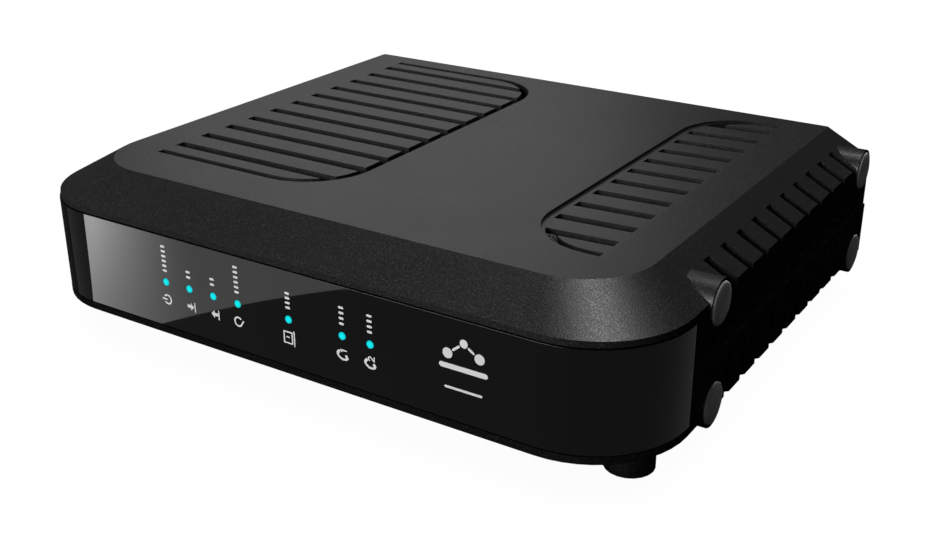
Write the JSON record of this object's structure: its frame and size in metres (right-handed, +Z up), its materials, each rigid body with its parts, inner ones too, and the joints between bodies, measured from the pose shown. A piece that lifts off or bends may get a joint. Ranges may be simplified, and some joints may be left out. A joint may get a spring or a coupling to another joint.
{
  "type": "cable modem",
  "caption": "Low black desktop cable modem with a glossy indicator band, slotted vents, rubber feet for lying flat or standing on its side, and sockets at the back.",
  "frame": {"origin": "middle of the bottom of the object's box, on the surface it lies on", "axes": "+X to the right seen from the front, +Y from the front to the back, +Z up"},
  "size_m": [0.2152, 0.1838, 0.0543],
  "materials": {
    "shell": "fine matte grain",
    "rear_plastic": "fine matte grain",
    "lens": "high gloss",
    "black_plastic": "satin",
    "foot_rubber": "matte",
    "light_guide": "clear",
    "indicator": "moulded",
    "label": "matte film",
    "circuit_board": "solder mask",
    "chip": "moulded epoxy",
    "aluminium": "bead blasted",
    "tinned_steel": "bright tin",
    "nickel": "nickel plate",
    "white_plastic": "satin",
    "socket_plastic": "satin",
    "screw_steel": "zinc plate",
    "capacitor_sleeve": "shrink sleeve"
  },
  "bodies": {
    "case": {"board_screw_1": "screw_steel", "board_screw_2": "screw_steel", "board_screw_3": "screw_steel", "board_screw_4": "screw_steel", "bottom_cover": "shell", "bottom_foot_1": "foot_rubber", "bottom_foot_2": "foot_rubber", "bottom_foot_3": "foot_rubber", "bottom_foot_4": "foot_rubber", "capacitor_1": "capacitor_sleeve", "capacitor_2": "capacitor_sleeve", "capacitor_3": "capacitor_sleeve", "case_screw_1": "screw_steel", "case_screw_2": "screw_steel", "case_screw_3": "screw_steel", "case_screw_4": "screw_steel", "coax_connector": "nickel", "coax_insulator": "white_plastic", "coax_nut": "nickel", "ethernet_jack": "tinned_steel", "flash_chip": "chip", "front_bezel": "black_plastic", "front_lens": "lens", "heat_sink": "aluminium", "led_1": "indicator", "led_2": "indicator", "led_3": "indicator", "led_4": "indicator", "led_5": "indicator", "led_6": "indicator", "led_7": "indicator", "light_guide": "light_guide", "main_board": "circuit_board", "main_chip": "chip", "memory_chip": "chip", "phone_jack_1": "socket_plastic", "phone_jack_2": "socket_plastic", "power_coil_1": "chip", "power_coil_2": "chip", "power_jack": "socket_plastic", "power_switch_body": "black_plastic", "rear_panel": "rear_plastic", "reset_switch": "chip", "side_foot_1": "foot_rubber", "side_foot_2": "foot_rubber", "side_foot_3": "foot_rubber", "side_foot_4": "foot_rubber", "top_cover": "shell", "tuner_frame": "tinned_steel", "tuner_lid": "tinned_steel", "underside_label": "label", "voice_chip": "chip"},
    "rocker": {"power_switch_rocker": "black_plastic"},
    "reset": {"reset_button": "white_plastic"}
  },
  "joints": [
    {"name": "power_rocker_tilt", "type": "hinge", "parent": "case", "child": "rocker", "pos_m": [-0.0694, 0.07812, 0.0288], "axis": [-1, 0, 0], "range_deg": [0, 16]},
    {"name": "reset_press", "type": "slide", "parent": "case", "child": "reset", "axis": [0, -1, 0], "range_m": [0, 0.0008], "stiffness_N_per_m": 400, "springref_m": -0.0008}
  ]
}
